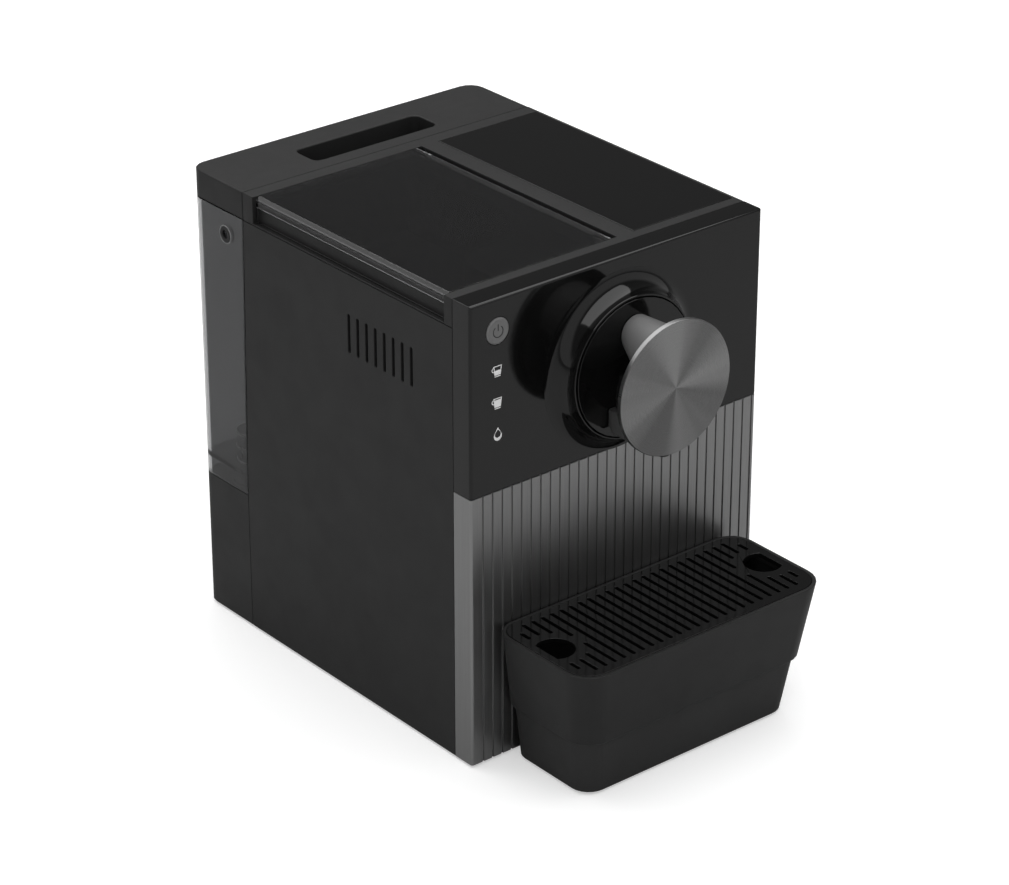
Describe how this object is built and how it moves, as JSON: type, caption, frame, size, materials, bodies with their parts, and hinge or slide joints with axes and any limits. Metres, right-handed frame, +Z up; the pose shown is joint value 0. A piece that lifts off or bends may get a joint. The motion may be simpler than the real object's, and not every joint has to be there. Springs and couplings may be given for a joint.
{
  "type": "pod coffee machine",
  "caption": "Upright pod coffee machine: round twist-in pod holder with a disc knob in front, water tank behind, drip tray with slotted grille, and a tinted lid over a pod store.",
  "frame": {"origin": "on the table under the middle of the whole machine, tray included", "axes": "+Z up; -Y is the front, where the drip tray and the pod holder are; +X is the right side seen from the front"},
  "size_m": [0.185, 0.296, 0.25],
  "materials": {
    "matt_black": "matt moulded black",
    "rubber_foot": "matt black rubber",
    "gloss_black": "polished piano black",
    "ribbed_steel": "brushed, with upright grooves",
    "satin_black": "fine satin texture",
    "tinted_clear": "dark tinted, polished",
    "smoked_clear": "smoked clear, polished",
    "steel_pin": "bright drawn wire",
    "white_plastic": "natural moulded",
    "seal_rubber": "soft black rubber",
    "silicone": "translucent silicone",
    "spun_steel": "spun radial brushing",
    "satin_grey": "satin grey",
    "dark_grey": "satin dark grey",
    "button_grey": "satin dark grey",
    "board_green": "solder mask",
    "folded_steel": "galvanised sheet",
    "cast_aluminium": "as cast",
    "brass": "plain"
  },
  "bodies": {
    "housing": {"base_plate": "matt_black", "foot_front_left": "rubber_foot", "foot_front_right": "rubber_foot", "foot_rear_left": "rubber_foot", "foot_rear_right": "rubber_foot", "front_cover_upper": "gloss_black", "front_cover_lower": "ribbed_steel", "side_panel_left": "satin_black", "side_panel_right": "satin_black", "rear_housing": "matt_black", "cord_gland": "seal_rubber", "top_frame": "satin_black", "top_panel_right": "gloss_black", "capsule_bin": "matt_black", "lid_hinge_pin_front": "steel_pin", "lid_hinge_pin_rear": "steel_pin", "tank_socket": "matt_black", "socket_seal": "seal_rubber", "head_collar": "gloss_black", "brew_chamber": "matt_black", "head_seal": "silicone", "needle_plate": "folded_steel", "button_switch": "matt_black", "control_board": "board_green", "power_board": "board_green", "inner_chassis": "folded_steel", "thermoblock": "cast_aluminium", "thermostat": "brass", "pump": "cast_aluminium", "pump_cradle": "white_plastic", "pump_rubber_front": "seal_rubber", "pump_rubber_rear": "seal_rubber", "flow_meter": "white_plastic", "hose_socket_to_meter": "silicone", "hose_meter_to_pump": "silicone", "hose_pump_to_heater": "silicone", "hose_heater_to_head": "silicone", "tray_support": "matt_black", "support_screw_left": "steel_pin", "support_screw_right": "steel_pin"},
    "lid": {"capsule_lid": "tinted_clear"},
    "tank": {"water_tank": "smoked_clear", "tank_valve_cup": "smoked_clear", "tank_valve_spring": "steel_pin"},
    "tank_cover": {"tank_lid": "satin_black"},
    "valve": {"tank_valve_plunger": "white_plastic", "tank_valve_washer": "seal_rubber"},
    "lock": {"lock_ring": "dark_grey"},
    "holder": {"pod_holder": "gloss_black", "grip_post": "satin_grey", "coffee_spout": "dark_grey", "knob_grip": "gloss_black", "knob_face": "spun_steel"},
    "button": {"power_button": "button_grey"},
    "tray": {"drip_tray": "satin_black"},
    "grille": {"drip_grille": "gloss_black"}
  },
  "joints": [
    {"name": "lid_hinge", "type": "hinge", "parent": "housing", "child": "lid", "pos_m": [0.0102, 0.0174, 0.246], "axis": [0, 1, 0], "range_deg": [0, 92]},
    {"name": "tank_lift", "type": "slide", "parent": "housing", "child": "tank", "axis": [0, 0, 1], "range_m": [0, 0.12]},
    {"name": "tank_lid_lift", "type": "slide", "parent": "tank", "child": "tank_cover", "axis": [0, 0, 1], "range_m": [0, 0.05]},
    {"name": "valve_plunger", "type": "slide", "parent": "tank", "child": "valve", "axis": [0, 0, 1], "range_m": [-0.003, 0], "deforming": ["tank_valve_spring"]},
    {"name": "holder_twist", "type": "hinge", "parent": "housing", "child": "lock", "pos_m": [0, -0.078, 0.1958], "axis": [0, -1, 0], "range_deg": [0, 45]},
    {"name": "holder_pull", "type": "slide", "parent": "lock", "child": "holder", "axis": [0, -1, 0], "range_m": [0, 0.07]},
    {"name": "power_press", "type": "slide", "parent": "housing", "child": "button", "axis": [0, 1, 0], "range_m": [0, 0.0015], "stiffness_N_per_m": 1000},
    {"name": "tray_pull", "type": "slide", "parent": "housing", "child": "tray", "axis": [0, -1, 0], "range_m": [0, 0.09]},
    {"name": "grille_lift", "type": "slide", "parent": "tray", "child": "grille", "axis": [0, 0, 1], "range_m": [0, 0.05]}
  ],
  "couplings": [
    {"joint": "valve_plunger", "follows": "tank_lift", "ratio": -0.025}
  ]
}
